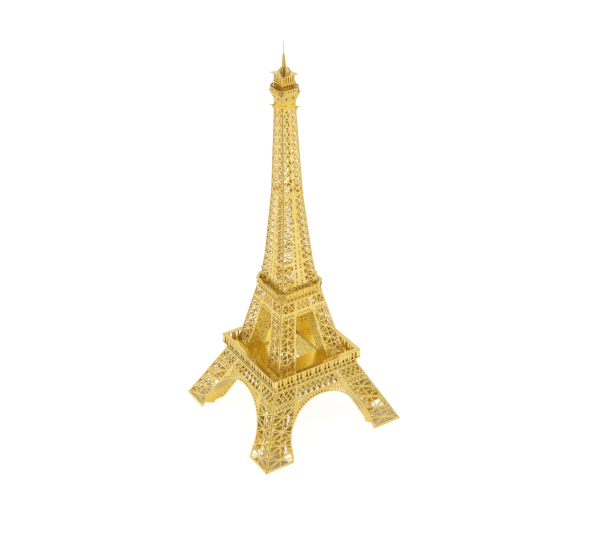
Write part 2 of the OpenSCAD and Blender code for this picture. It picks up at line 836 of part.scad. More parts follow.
module upper_deck() {
    hole = upper_half * 0.55;
    color("goldenrod")
        translate([0, 0, upper_gallery_z])
            linear_extrude(sheet)
                difference() {
                    octagon(upper_half, upper_chamfer);
                    square(2 * hole, center = true);
                }
}

module upper_parapet() {
    color("gold")
        octagon_panels(upper_half, upper_chamfer, upper_deck_z,
            upper_gallery_z + upper_gallery_height - sheet, 0.9, 2.1);
}

module upper_parapet_rail() {
    color("gold")
        octagon_ring(upper_half, upper_chamfer, upper_rail, upper_gallery_z + upper_gallery_height - sheet);
}

// ---- shaft ----

// A shaft face: X bays beside the posts, and a plain middle that small triangles are cut in
// up to a given height. split is the middle's share of the face, at its foot and at its head.
module shaft_pattern(w0, w1, h, rows, split, dots_top) {
    strip = post - strut / 2;
    reach = along(w0, w1, h);
    pitch = 2.4;
    dot = [0.06 * w0, 0.8];
    q = [
        [-w0 + strip, bar], [-w0 * split[0], bar],
        [-w1 * split[1], reach - bar + strut / 2], [-w1 + strip, reach - bar + strut / 2]
    ];
    cells = cross_column(q, rows, strut);
    slope = (w1 - w0) / reach;
    etched([
        [-w0 + slope * over, -over], [w0 - slope * over, -over],
        [w1 + slope * over, reach + over], [-w1 - slope * over, reach + over]
    ], concat(cells, mirrored(cells)))
        for (i = [0:floor(dots_top / pitch) - 1], side = [-1, 1])
            translate([side * 0.15 * mix(w0, w1, (i + 0.6) * pitch / reach), (i + 0.6) * pitch])
                mirror([0, i % 2])
                    polygon([[-dot[0], -dot[1]], [dot[0], -dot[1]], [0, dot[1]]]);
}

module shaft_lower(k) {
    foot_split = 0.32;
    head_split = 0.1;
    color("gold")
        for (j = [k, k + 1])
            on_face(j) {
                face_sheet(shaft_half, bend_width / 2, upper_deck_z, bend_z - fold_gap)
                    shaft_pattern(shaft_half, bend_width / 2, bend_height,
                        4, [foot_split, foot_split], bend_height);
                face_sheet(bend_width / 2, splice_width / 2, bend_z, splice_z)
                    shaft_pattern(bend_width / 2, splice_width / 2, shaft_rise,
                        9, [foot_split, head_split], 0.7 * shaft_rise);
            }
}

module splice_plate() {
    lip = 0.25;
    color("gold")
        square_ring(splice_width / 2 + lip, splice_width / 2 - 2 * post, splice_z);
}

module upper_shaft_pattern() {
    w0 = splice_width / 2;
    w1 = shaft_top_width / 2;
    rows = 9;
    cross_strut = 0.7;
    strip = post - strut / 2;
    reach = along(w0, w1, upper_shaft_height);
    slope = (w1 - w0) / reach;
    q = [
        [-w0 + strip, bar], [-bar / 2 + strut / 2, bar],
        [-bar / 2 + strut / 2, reach - bar], [-w1 + strip, reach - bar]
    ];
    left = cross_column(q, rows, cross_strut);
    etched([
        [-w0 + slope * over, -over], [w0 - slope * over, -over],
        [w1 + slope * over, reach + over], [-w1 - slope * over, reach + over]
    ], concat(left, mirrored(left)));
}

module shaft_upper(k) {
    color("gold")
        for (j = [k, k + 1])
            on_face(j)
                face_sheet(splice_width / 2, shaft_top_width / 2, splice_z + sheet, spike_z)
                    upper_shaft_pattern();
}

// A level plate across the shaft's head, its four corners drawn out to points.
module spike_plate() {
    w = shaft_top_width / 2;
    tip = w + spike_reach;
    waist = w - 0.1;
    root = w - 1.2;
    color("gold")
        translate([0, 0, spike_z])
            linear_extrude(sheet)
                polygon([for (k = FACES)
                    let (c = cos(90 * k), s = sin(90 * k))
                    each [for (p = [[-root, -waist], [root, -waist], [tip, -tip]])
                        [c * p[0] - s * p[1], s * p[0] + c * p[1]]]
                ]);
}

// ---- summit ----

module summit_brackets() {
    w = shaft_top_width / 2;
    flare = summit_width / 2 - 0.4;
    h = along(w, flare, bracket_height);
    rib = 1.2;
    foot = 1.3;
    head = 1.9;
    quad = [
        [-(w + rib) / 2, foot], [-(w - rib) / 2, foot],
        [-(w - rib) / 2, h - head], [-(w + rib) / 2, h - head]
    ];
    sill = 1;
    window = [
        [-w + rib, sill], [w - rib, sill], [w - rib, neck_height - sill], [-w + rib, neck_height - sill]
    ];
    color("gold")
        for (k = FACES)
            on_face(k) {
                face_sheet(w, w, neck_z, bracket_z)
                    etched([[-w, 0], [w, 0], [w, neck_height], [-w, neck_height]],
                        cross_cells(window, strut));
                face_sheet(w, flare, bracket_z, summit_z)
                    difference() {
                        trapezoid(w, flare, h);
                        polygon(inset(quad, strut));
                        polygon(inset(mirrored([quad])[0], strut));
                    }
            }
}

module summit_deck() {
    color("goldenrod")
        translate([0, 0, summit_z])
            linear_extrude(sheet)
                octagon(summit_width / 2, summit_chamfer);
}

module summit_parapet() {
    color("gold")
        octagon_panels(summit_width / 2, summit_chamfer, summit_floor,
            summit_floor + summit_parapet_height, 0.75, 1.35);
}

// Four upright walls with a row of windows.
module cabin(z0, z1, windows, share) {
    w = cabin_width / 2;
    h = z1 - z0;
    frame = 0.6;
    pitch = (2 * w - 2 * frame) / windows;
    for (k = FACES)
        on_face(k)
            face_sheet(w, w, z0, z1)
                difference() {
                    translate([-w, 0])
                        square([2 * w, h]);
                    for (i = [0:windows - 1])
                        translate([-w + frame + (i + 0.5 - share / 2) * pitch, frame])
                            square([share * pitch, h - 2 * frame]);
                }
}

module lower_cabin() {
    color("darkgoldenrod")
        cabin(summit_floor, summit_floor + cabin_height, 6, 0.45);
}

module upper_cabin() {
    color("goldenrod")
        cabin(summit_floor + cabin_height, roof_z, 5, 0.45);
}

// A square plate whose sides dip in a little, so that its corners are sharp points.
module roof_plate() {
    w = cabin_width / 2 + roof_reach;
    dip = w - 0.7;
    color("gold")
        translate([0, 0, roof_z])
            linear_extrude(sheet)
                polygon([
                    [-w, -w], [0, -dip], [w, -w], [dip, 0],
                    [w, w], [0, dip], [-w, w], [-dip, 0]
                ]);
}

module lantern_arch(radius, turn) {
    translate([0, 0, lantern_z])
        rotate([90, 0, turn])
            translate([0, 0, -lantern_strip / 2])
                rotate_extrude(angle = 180)
                    translate([radius - sheet, 0])
                        square([sheet, lantern_strip]);
}

module lantern_arch_outer() {
    color("gold")
        lantern_arch(lantern_radius, 0);
}

module lantern_arch_inner() {
    color("gold")
        lantern_arch(lantern_inner, 90);
}

module lantern_post() {
    post_radius = 0.7;
    color("saddlebrown")
        difference() {
            translate([0, 0, lantern_z])
                cylinder(r = post_radius, h = lantern_radius);
            translate([-far / 2, 0, lantern_z])
                rotate([0, 90, 0])
                    difference() {
                        cylinder(r = 2 * lantern_radius, h = far);
                        cylinder(r = lantern_inner - sheet, h = far);
                    }
        }
}

// A rolled cone that sits over the outer arch, with the needle in its tip.
module spire_cone() {
    skirt = 0.25;
    socket = 1.8;
    color("gold")
        difference() {
            translate([0, 0, spire_z - skirt])
                cylinder(r1 = spire_radius, r2 = spire_tip_radius, h = spire_height + skirt);
            translate([0, far / 2, lantern_z])
                rotate([90, 0, 0])
                    cylinder(r = lantern_radius, h = far);
            translate([0, 0, spire_z + spire_height - socket])
                cylinder(r = needle_radius, h = 2 * socket);
        }
}

module needle() {
    socket = 1.8;
    point = 0.9;
    color("gold")
        translate([0, 0, spire_z + spire_height - socket]) {
            cylinder(r = needle_radius, h = socket + needle_length - point);
            translate([0, 0, socket + needle_length - point])
                cylinder(r1 = needle_radius, r2 = needle_radius / 4, h = point);
        }
}

pier(0);  // pier_front
pier(1);  // pier_right
pier(2);  // pier_back
pier(3);  // pier_left
pier_inner(0);  // pier_inner_front
pier_inner(1);  // pier_inner_right
pier_inner(2);  // pier_inner_back
pier_inner(3);  // pier_inner_left
arch(0);  // arch_south
arch(1);  // arch_east
arch(2);  // arch_north
arch(3);  // arch_west
soffit(0);  // soffit_south
soffit(1);  // soffit_east
soffit(2);  // soffit_north
soffit(3);  // soffit_west
frieze(0);  // frieze_south
frieze(1);  // frieze_east
frieze(2);  // frieze_north
frieze(3);  // frieze_west
girders();  // girder_inner
lower_cornice();
lower_shelf();
lower_deck_skirt();
lower_deck();
lower_parapet();
lower_rail();
stage_leg_sheets(0);  // stage_leg_front
stage_leg_sheets(1);  // stage_leg_right
stage_leg_sheets(2);  // stage_leg_back
stage_leg_sheets(3);  // stage_leg_left
stage_inner(0);  // stage_inner_front
stage_inner(1);  // stage_inner_right
stage_inner(2);  // stage_inner_back
stage_inner(3);  // stage_inner_left
beam(0);  // beam_south
beam(1);  // beam_east
beam(2);  // beam_north
beam(3);  // beam_west
upper_cornice();
upper_deck();
upper_parapet();
upper_parapet_rail();
shaft_lower(3);  // shaft_lower_front
shaft_lower(1);  // shaft_lower_back
splice_plate();
shaft_upper(3);  // shaft_upper_front
shaft_upper(1);  // shaft_upper_back
spike_plate();
summit_brackets();
summit_deck();
summit_parapet();
lower_cabin();
upper_cabin();
roof_plate();
lantern_post();
lantern_arch_outer();
lantern_arch_inner();
spire_cone();
needle();
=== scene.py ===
import math

import bmesh
import bpy
from mathutils import Matrix, Vector


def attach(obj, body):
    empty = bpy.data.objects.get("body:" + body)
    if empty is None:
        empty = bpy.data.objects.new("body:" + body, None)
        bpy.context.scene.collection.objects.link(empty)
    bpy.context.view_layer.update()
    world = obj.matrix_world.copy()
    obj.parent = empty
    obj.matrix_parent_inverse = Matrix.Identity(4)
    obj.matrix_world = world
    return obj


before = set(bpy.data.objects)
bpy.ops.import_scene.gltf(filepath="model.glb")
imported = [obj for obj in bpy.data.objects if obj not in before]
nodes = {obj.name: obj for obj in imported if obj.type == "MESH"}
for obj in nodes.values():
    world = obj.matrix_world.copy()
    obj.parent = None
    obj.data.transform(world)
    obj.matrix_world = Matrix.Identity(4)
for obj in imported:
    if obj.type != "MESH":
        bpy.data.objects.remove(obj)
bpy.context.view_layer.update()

bpy.ops.object.select_all(action="DESELECT")

# ---- Camera ----
# A long lens high on the front corner's side, which looks down over all four legs.
# It stands on a tripod that leans by about one degree.
camera_aim = Vector((-0.04965, -0.09128, 0.15485))
camera_distance = 0.60073
camera_azimuth = math.radians(-31.821)
camera_elevation = math.radians(31.846)
camera_roll = math.radians(-1.112)
camera_back = Vector((
    math.sin(camera_azimuth) * math.cos(camera_elevation),
    -math.cos(camera_azimuth) * math.cos(camera_elevation),
    math.sin(camera_elevation),
))
level_right = Vector((math.cos(camera_azimuth), math.sin(camera_azimuth), 0))
level_up = camera_back.cross(level_right)
camera_right = level_right * math.cos(camera_roll) + level_up * math.sin(camera_roll)
camera_up = camera_back.cross(camera_right)
bpy.ops.object.camera_add(location=camera_aim + camera_back * camera_distance)
camera = bpy.context.object
camera.rotation_euler = Matrix((camera_right, camera_up, camera_back)).transposed().to_euler()
camera.data.lens = 80.87
camera.data.sensor_width = 36
camera.data.clip_start = 0.05
camera.data.clip_end = 20
bpy.context.scene.camera = camera

# ---- Studio ----
# A sheet of white acrylic lit from below, under a white tent. The tent's walls are darker than
# its top, and two soft boxes stand beside it.
bpy.ops.mesh.primitive_plane_add(size=8, location=(0, 0, -0.0002))
floor = bpy.context.object
floor.name = "floor"
card = bpy.data.materials.new("white_card")
card.use_nodes = True
card.node_tree.nodes["Principled BSDF"].inputs["Base Color"].default_value = (0.22, 0.22, 0.22, 1)
card.node_tree.nodes["Principled BSDF"].inputs["Roughness"].default_value = 0.9
card.node_tree.nodes["Principled BSDF"].inputs["Specular IOR Level"].default_value = 0.1
card.node_tree.nodes["Principled BSDF"].inputs["Emission Color"].default_value = (1, 1, 1, 1)
card.node_tree.nodes["Principled BSDF"].inputs["Emission Strength"].default_value = 0.86
floor.data.materials.append(card)

tent = bpy.data.worlds.new("tent")
bpy.context.scene.world = tent
tent.use_nodes = True
tree = tent.node_tree
place = tree.nodes.new("ShaderNodeTexCoord")
split = tree.nodes.new("ShaderNodeSeparateXYZ")
ramp = tree.nodes.new("ShaderNodeValToRGB")
ramp.color_ramp.elements[0].position = 0.0
ramp.color_ramp.elements[0].color = (0.92, 0.91, 0.90, 1)
ramp.color_ramp.elements[1].position = 0.75
ramp.color_ramp.elements[1].color = (1.0, 1.0, 1.0, 1)
tree.links.new(place.outputs["Generated"], split.inputs["Vector"])
tree.links.new(split.outputs["Z"], ramp.inputs["Fac"])
tree.links.new(ramp.outputs["Color"], tree.nodes["Background"].inputs["Color"])
tree.nodes["Background"].inputs["Strength"].default_value = 1.0


def soft_box(name, azimuth, elevation, distance, size, watts):
    a, e = math.radians(azimuth), math.radians(elevation)
    back = Vector((math.sin(a) * math.cos(e), -math.cos(a) * math.cos(e), math.sin(e)))
    middle = Vector((0, 0, 0.1))
    bpy.ops.object.light_add(type="AREA", location=middle + back * distance)
    box = bpy.context.object
    box.name = name
    box.data.shape = "RECTANGLE"
    box.data.size = size
    box.data.size_y = size
    box.data.energy = watts
    box.rotation_euler = back.to_track_quat("Z", "Y").to_euler()


soft_box("key_box", -75, 50, 1.2, 0.7, 1.8)
soft_box("fill_box", 40, 35, 1.4, 0.9, 1.6)
bpy.context.scene.view_settings.view_transform = "Standard"
bpy.context.scene.view_settings.look = "None"


# ---- Gold-coloured sheet ----
# All of the tower is thin brass sheet with a bright gold wash. Its faces are polished, the walls
# that the acid cut are duller and browner, and the folds keep a dark half-etched line.
def group(name, inputs, outputs):
    made = bpy.data.node_groups.new(name, "ShaderNodeTree")
    for label, kind, value in inputs:
        socket = made.interface.new_socket(name=label, in_out="INPUT", socket_type=kind)
        socket.default_value = value
    for label, kind in outputs:
        made.interface.new_socket(name=label, in_out="OUTPUT", socket_type=kind)
    return made, made.nodes.new("NodeGroupInput"), made.nodes.new("NodeGroupOutput")


def wire(tree, kind, sockets, **settings):
    node = tree.nodes.new("ShaderNode" + kind)
    for key, value in settings.items():
        setattr(node, key, value)
    for key, value in sockets.items():
        if isinstance(value, bpy.types.NodeSocket):
            tree.links.new(value, node.inputs[key])
        else:
            node.inputs[key].default_value = value
    return node


def maths(tree, operation, *values):
    return wire(tree, "Math", dict(enumerate(values)), operation=operation).outputs[0]


# White on the walls that were cut through the sheet, black on its polished faces.
cut_wall, given, result = group(
    "cut_wall", [("Lean", "NodeSocketFloat", 0.0)], [("Wall", "NodeSocketFloat")])
normal = wire(cut_wall, "NewGeometry", {}).outputs["True Normal"]
parts = wire(cut_wall, "SeparateXYZ", {"Vector": normal}).outputs
across = maths(
    cut_wall, "MAXIMUM",
    maths(cut_wall, "ABSOLUTE", parts["X"]),
    maths(cut_wall, "ABSOLUTE", parts["Y"]))
upward = maths(cut_wall, "ABSOLUTE", parts["Z"])
facing = maths(
    cut_wall, "ADD",
    maths(cut_wall, "MULTIPLY", across, maths(cut_wall, "COSINE", given.outputs["Lean"])),
    maths(cut_wall, "MULTIPLY", upward, maths(cut_wall, "SINE", given.outputs["Lean"])))
wall = wire(cut_wall, "MapRange", {"Value": facing, 1: 0.97, 2: 0.90, 3: 0.0, 4: 1.0}).outputs[0]
cut_wall.links.new(wall, result.inputs["Wall"])

# White on the half-etched line along a fold, where two faces of the tower meet.
fold_line, given, result = group(
    "fold_line", [("Half Width", "NodeSocketFloat", 0.0001)], [("Line", "NodeSocketFloat")])
place = wire(fold_line, "TexCoord", {}).outputs["Object"]
parts = wire(fold_line, "SeparateXYZ", {"Vector": place}).outputs
gap = maths(
    fold_line, "ABSOLUTE",
    maths(
        fold_line, "SUBTRACT",
        maths(fold_line, "ABSOLUTE", parts["X"]),
        maths(fold_line, "ABSOLUTE", parts["Y"])))
edge = maths(fold_line, "MULTIPLY", given.outputs["Half Width"], 1.6)
line = wire(
    fold_line, "MapRange", {"Value": gap, 1: given.outputs["Half Width"], 2: edge, 3: 1.0, 4: 0.0}).outputs[0]
fold_line.links.new(line, result.inputs["Line"])

# White on the faces that look towards the tower's axis, which get a darker colour as painted shade.
inner_side_shade, given, result = group(
    "inner_side_shade", [("Reach", "NodeSocketFloat", 1.0)], [("Inside", "NodeSocketFloat")])
place = wire(inner_side_shade, "TexCoord", {}).outputs["Object"]
level = wire(inner_side_shade, "VectorMath", {0: place, 1: (1.0, 1.0, 0.0)}, operation="MULTIPLY").outputs[0]
away = wire(inner_side_shade, "VectorMath", {0: level}, operation="NORMALIZE").outputs[0]
normal = wire(inner_side_shade, "NewGeometry", {}).outputs["True Normal"]
outward = wire(inner_side_shade, "VectorMath", {0: normal, 1: away}, operation="DOT_PRODUCT").outputs["Value"]
inside = wire(inner_side_shade, "MapRange", {"Value": outward, 1: -0.25, 2: -0.6, 3: 0.0, 4: 1.0}).outputs[0]
inside = maths(inner_side_shade, "MULTIPLY", inside, given.outputs["Reach"])
inner_side_shade.links.new(inside, result.inputs["Inside"])

# White on a level band of the tower that stays in the shade of the ledge above it.
shade_band, given, result = group(
    "shade_band",
    [("Foot", "NodeSocketFloat", 0.0), ("Head", "NodeSocketFloat", 1.0)],
    [("Shade", "NodeSocketFloat")])
place = wire(shade_band, "TexCoord", {}).outputs["Object"]
level = wire(shade_band, "SeparateXYZ", {"Vector": place}).outputs["Z"]
shade = wire(
    shade_band, "MapRange", {"Value": level, 1: given.outputs["Foot"], 2: given.outputs["Head"]}).outputs[0]
shade_band.links.new(shade, result.inputs["Shade"])

# The rolling grain of the sheet, cloudy tarnish and the fine marks of polishing.
sheet_grain, given, result = group(
    "sheet_grain",
    [("Cloud Scale", "NodeSocketFloat", 120.0), ("Grain Scale", "NodeSocketFloat", 2400.0)],
    [("Cloud", "NodeSocketFloat"), ("Grain", "NodeSocketFloat")])
place = wire(sheet_grain, "TexCoord", {}).outputs["Object"]
cloud = wire(
    sheet_grain, "TexNoise", {"Vector": place, "Scale": given.outputs["Cloud Scale"], "Detail": 3.0})
stretched = wire(sheet_grain, "Mapping", {"Vector": place, "Scale": (1.0, 1.0, 0.12)}).outputs[0]
grain = wire(
    sheet_grain, "TexNoise", {"Vector": stretched, "Scale": given.outputs["Grain Scale"], "Detail": 2.0})
sheet_grain.links.new(cloud.outputs[0], result.inputs["Cloud"])
sheet_grain.links.new(grain.outputs[0], result.inputs["Grain"])


def gold_sheet(name, bright, deep, wall_colour, gloss, dull, lean=0.0, folded=True, bump=0.15,
               inside_shade_colour=(0.78, 0.58, 0.10), shaded=(), metallic=1.0):
    """Polished sheet in two golds, with duller cut walls, a dull inner side darkened as painted shade and dark
    fold lines.
    """
    made = bpy.data.materials.new(name)
    made.use_nodes = True
    tree = made.node_tree
    shader = tree.nodes["Principled BSDF"]
    shader.inputs["Metallic"].default_value = metallic
    grain = wire(tree, "Group", {}, node_tree=sheet_grain)
    cloud = wire(
        tree, "MapRange", {"Value": grain.outputs["Cloud"], 1: 0.35, 2: 0.65, 3: 0.0, 4: 1.0}).outputs[0]
    face = wire(tree, "Mix", {0: cloud, 6: (*bright, 1), 7: (*deep, 1)}, data_type="RGBA").outputs[2]
    wall = wire(tree, "Group", {"Lean": math.radians(lean)}, node_tree=cut_wall).outputs["Wall"]
    colour = wire(tree, "Mix", {0: wall, 6: face, 7: (*wall_colour, 1)}, data_type="RGBA").outputs[2]
    rough = wire(
        tree, "MapRange", {"Value": grain.outputs["Grain"], 1: 0.3, 2: 0.7, 3: gloss, 4: dull}).outputs[0]
    rough = maths(tree, "ADD", rough, maths(tree, "MULTIPLY", wall, wall_dulling))
    # Faces towards the axis are mixed to a darker gold: painted shade.
    if inside_shade_colour:
        inside = wire(tree, "Group", {}, node_tree=inner_side_shade).outputs["Inside"]
        colour = wire(
            tree, "Mix", {0: inside, 6: colour, 7: (*inside_shade_colour, 1)}, data_type="RGBA").outputs[2]
        rough = maths(tree, "ADD", rough, maths(tree, "MULTIPLY", inside, inside_dulling))
    if folded:
        line = wire(tree, "Group", {}, node_tree=fold_line).outputs["Line"]
        shade = maths(tree, "MULTIPLY", line, line_strength)
        colour = wire(tree, "Mix", {0: shade, 6: colour, 7: (*line_brown, 1)}, data_type="RGBA").outputs[2]
        rough = maths(tree, "ADD", rough, maths(tree, "MULTIPLY", line, line_dulling))
    for foot, head in shaded:
        reach = {"Foot": foot * MM, "Head": head * MM}
        shadow = wire(tree, "Group", reach, node_tree=shade_band).outputs["Shade"]
        shadow = maths(tree, "MULTIPLY", shadow, shade_strength)
        colour = wire(tree, "Mix", {0: shadow, 6: colour, 7: (*shade_brown, 1)}, data_type="RGBA").outputs[2]
    relief = wire(tree, "Bump", {"Height": grain.outputs["Grain"], "Strength": bump, "Distance": grain_depth})
    tree.links.new(colour, shader.inputs["Base Color"])
    tree.links.new(rough, shader.inputs["Roughness"])
    tree.links.new(relief.outputs["Normal"], shader.inputs["Normal"])
    return made


MM = 0.001
wall_dulling, inside_dulling, line_dulling = 0.18, 0.15, 0.2
line_strength, line_brown = 0.55, (0.36, 0.22, 0.04)
shade_strength, shade_brown = 0.75, (0.22, 0.12, 0.02)
grain_depth = 0.00003
pale_gold = (0.84, 0.645, 0.225)
warm_gold = (0.79, 0.575, 0.15)
deep_gold = (0.76, 0.51, 0.06)
etched_brown = (0.58, 0.42, 0.11)
closing_gold = (0.84, 0.64, 0.15)
closing_brown = (0.76, 0.55, 0.09)


def finish(material, *names):
    """The material on each of these parts of the frame."""
    for name in names:
        nodes[name].data.materials.clear()
        nodes[name].data.materials.append(material)


CORNERS = ("front", "right", "back", "left")
SIDES = ("south", "east", "north", "west")

# ---- First stage ----
# Four folded leg sheets, four arches and four friezes of polished sheet lean inwards on one slope.
# Tabs lock them together. Duller sheets close the legs and the girders towards the axis.
pier_gold = gold_sheet("pier_gold", pale_gold, warm_gold, etched_brown, 0.16, 0.30, lean=26.6)
finish(
    pier_gold, *("pier_" + c for c in CORNERS), *("arch_" + s for s in SIDES), *("frieze_" + s for s in SIDES))
pier_inner_gold = gold_sheet(
    "pier_inner_gold", closing_gold, closing_brown, closing_brown, 0.3, 0.45, lean=22.7)
finish(pier_inner_gold, *("pier_inner_" + c for c in CORNERS), "girder_inner")
soffit_gold = gold_sheet(
    "soffit_gold", warm_gold, deep_gold, etched_brown, 0.12, 0.22, folded=False, inside_shade_colour=None)
finish(soffit_gold, *("soffit_" + s for s in SIDES))


def deselect():
    bpy.ops.object.select_all(action="DESELECT")


def pick(piece, wanted):
    """In edit mode, selects the corners whose place is wanted, and the edges and faces between them."""
    bpy.ops.mesh.select_mode(type="VERT")
    bpy.ops.mesh.select_all(action="DESELECT")
    mesh = bmesh.from_edit_mesh(piece.data)
    for corner in mesh.verts:
        corner.select_set(bool(wanted(corner.co)))
    mesh.select_flush_mode()
    bmesh.update_edit_mesh(piece.data)


def raise_and_soften(piece, height, soft, segments=1):
    """In edit mode, gives a flat shape its height and softens the edges that it then has."""
    bpy.ops.mesh.select_all(action="SELECT")
    bpy.ops.mesh.extrude_region_move(TRANSFORM_OT_translate={"value": (0, 0, height)})
    bpy.ops.mesh.select_all(action="SELECT")
    bpy.ops.mesh.normals_make_consistent(inside=False)
    bpy.ops.mesh.select_all(action="DESELECT")
    bpy.ops.mesh.select_mode(type="EDGE")
    bpy.ops.mesh.edges_select_sharp(sharpness=math.radians(50))
    bpy.ops.mesh.bevel(offset=soft, segments=segments, affect="EDGES")
    bpy.ops.object.mode_set(mode="OBJECT")


def strap(low, high, proud, soft):
    """A thin strap on the XY plane. low and high are its ends, each as left, right and height in mm."""
    deselect()
    middle = ((low[0] + low[1]) / 2 * MM, (low[2] + high[2]) / 2 * MM, 0)
    bpy.ops.mesh.primitive_plane_add(size=1, location=middle)
    piece = bpy.context.object
    piece.scale = ((low[1] - low[0]) * MM, (high[2] - low[2]) * MM, 1)
    bpy.ops.object.transform_apply(location=True, rotation=True, scale=True)
    bpy.ops.object.mode_set(mode="EDIT")
    pick(piece, lambda c: c.y > middle[1])
    head = ((high[0] + high[1]) / 2 * MM, high[2] * MM, 0)
    bpy.ops.transform.translate(value=(head[0] - middle[0], 0, 0))
    bpy.ops.transform.resize(value=((high[1] - high[0]) / (low[1] - low[0]), 1, 1), center_override=head)
    raise_and_soften(piece, proud * MM, soft * MM)
    return piece


def ring(radius, hole, height, soft, corners=16):
    """A flat ring on the XY plane, in mm."""
    deselect()
    bpy.ops.mesh.primitive_circle_add(vertices=corners, radius=radius * MM, fill_type="NGON")
    piece = bpy.context.object
    bpy.ops.object.mode_set(mode="EDIT")
    bpy.ops.mesh.select_all(action="SELECT")
    bpy.ops.mesh.inset(thickness=(radius - hole) * MM)
    bpy.ops.mesh.delete(type="FACE")
    raise_and_soften(piece, height * MM, soft * MM)
    return piece


def placed(piece, places):
    """The piece copied to each place, with all of the copies joined to it."""
    deselect()
    for place in places[1:]:
        copy = piece.copy()
        copy.data = piece.data.copy()
        bpy.context.collection.objects.link(copy)
        copy.data.transform(place)
        if place.determinant() < 0:
            copy.data.flip_normals()
        copy.select_set(True)
    piece.data.transform(places[0])
    if places[0].determinant() < 0:
        piece.data.flip_normals()
    piece.select_set(True)
    bpy.context.view_layer.objects.active = piece
    bpy.ops.object.join()
    return piece


def joined(pieces):
    deselect()
    for piece in pieces:
        piece.select_set(True)
    bpy.context.view_layer.objects.active = pieces[0]
    bpy.ops.object.join()
    return pieces[0]


def mounted(piece, name, material):
    """Names a finished piece, gives it its finish and fixes it to the tower."""
    piece.name = name
    piece.data.name = name
    piece.data.materials.clear()
    piece.data.materials.append(material)
    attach(piece, "root")
    return piece


def quarter(side):
    return Matrix.Rotation(math.radians(90 * side), 4, "Z")


def on_slope(side, low_half, top_half, low_z, top_z):
    """The plane of a leaning face, with X along it, Y up it and Z out of it. All sizes in mm."""
    lean = math.atan((low_half - top_half) / (top_z - low_z))
    lift = Matrix.Translation((0, -low_half * MM, low_z * MM))
    return quarter(side) @ lift @ Matrix.Rotation(math.radians(90) - lean, 4, "X")


def move(x, y, z=0.0):
    return Matrix.Translation((x * MM, y * MM, z * MM))


FLIP = Matrix.Scale(-1, 4, (1, 0, 0))


def corner_straps(name, low_half, top_half, low_z, top_z, inset, width, proud, material):
    """The two raised strips beside the fold of each corner, pressed outwards when the sheet is folded."""
    reach = math.hypot(low_half - top_half, top_z - low_z)
    low = (-low_half + inset, -low_half + inset + width, 0.15)
    high = (-top_half + inset, -top_half + inset + width, reach - 0.15)
    piece = strap(low, high, proud, 0.05)
    places = []
    for side in range(4):
        slope = on_slope(side, low_half, top_half, low_z, top_z)
        places += [slope, slope @ FLIP]
    return mounted(placed(piece, places), name, material)


base_half, pier_top, pier_height = 44.0, 26.25, 35.5
slope_1 = [on_slope(side, base_half, pier_top, 0, pier_height) for side in range(4)]
strap_gold = gold_sheet(
    "strap_gold", pale_gold, warm_gold, etched_brown, 0.10, 0.22, lean=26.6, inside_shade_colour=None)
corner_straps("pier_corner_straps", base_half, pier_top, 0, pier_height, 0.22, 0.6, 0.12, strap_gold)

# Level rails above and below the frieze run across each whole face.
pier_fall, rail_inset, rail_height = 0.4472, 0.25, 0.5
frieze_rails = []
for foot in (31.75, 38.95):
    reach = [base_half - pier_fall * v - rail_inset for v in (foot, foot + rail_height)]
    rail = strap((-reach[0], reach[0], foot), (-reach[1], reach[1], foot + rail_height), 0.14, 0.05)
    frieze_rails.append(placed(rail, slope_1))
mounted(joined(frieze_rails), "frieze_rails", strap_gold)

# A pressed rim around every round hole of the frieze.
frieze_places = [(-13.48 + (i + 0.5) / 8 * 26.96, 35.84) for i in range(8)]
pier_places = [(-27.29 + (i + 0.5) / 4 * 12.65, 35.69) for i in range(4)]
rim_places = frieze_places + pier_places + [(-x, y) for x, y in pier_places]
rosette = ring(1.36, 1.0, 0.14, 0.04)
mounted(
    placed(rosette, [slope @ move(x, y) for slope in slope_1 for x, y in rim_places]),
    "frieze_rims", strap_gold)

# Tabs of the curved strips come through slots at the arches' feet and are twisted to lock.
tab_gold = gold_sheet(
    "tab_gold", closing_gold, closing_brown, closing_brown, 0.25, 0.4, folded=False, inside_shade_colour=None)
tab = strap((-0.45, 0.45, -0.4), (-0.35, 0.35, 0.4), 0.4, 0.05)
mounted(
    placed(tab, [slope @ move(x, 6.6, -0.35) for slope in slope_1 for x in (-25.45, 25.45)]),
    "arch_tabs", tab_gold)

# A pale plate closes each foot. It lies on the ground between the folded edges of the leg.
# Its pale, weakly metallic colour is a painted reflection of the white surroundings.
foot_reflection_gold = gold_sheet(
    "foot_reflection_gold", (0.88, 0.76, 0.50), (0.84, 0.70, 0.42), etched_brown, 0.35, 0.5, lean=90, folded=False,
    inside_shade_colour=None, metallic=0.35)
foot_half, foot_place, foot_lift = 7.2, 36.2, 0.03
foot_plate = strap((-foot_half, foot_half, -foot_half), (-foot_half, foot_half, foot_half), 0.22, 0.06)
foot_centres = (-foot_place, foot_place)
mounted(
    placed(foot_plate, [move(x, y, foot_lift) for x in foot_centres for y in foot_centres]),
    "foot_plates", foot_reflection_gold)

# ---- First gallery ----
# A folded cornice with round-headed slots, a slotted parapet with a flat rail, and a deck of
# mirror-bright plate. Pressed pilasters, a hem and a rolled rim stiffen the thin strips.
cornice_gold = gold_sheet(
    "cornice_gold", warm_gold, deep_gold, etched_brown, 0.14, 0.26, lean=8, shaded=((38.0, 38.7),))
finish(cornice_gold, "lower_cornice")
parapet_gold = gold_sheet("parapet_gold", pale_gold, warm_gold, etched_brown, 0.14, 0.26)
finish(parapet_gold, "lower_parapet", "upper_parapet", "summit_parapet")
plate_gold = gold_sheet(
    "plate_gold", pale_gold, warm_gold, etched_brown, 0.08, 0.18, lean=90, folded=False, bump=0.05,
    inside_shade_colour=None)
finish(plate_gold, "lower_rail", "upper_parapet_rail", "splice_plate")
deck_gold = gold_sheet(
    "deck_gold", (0.95, 0.73, 0.12), (0.92, 0.67, 0.08), etched_brown, 0.22, 0.30, lean=90, folded=False,
    bump=0.04, inside_shade_colour=None)
finish(deck_gold, "lower_shelf", "lower_deck", "upper_deck", "summit_deck", "lower_deck_skirt")


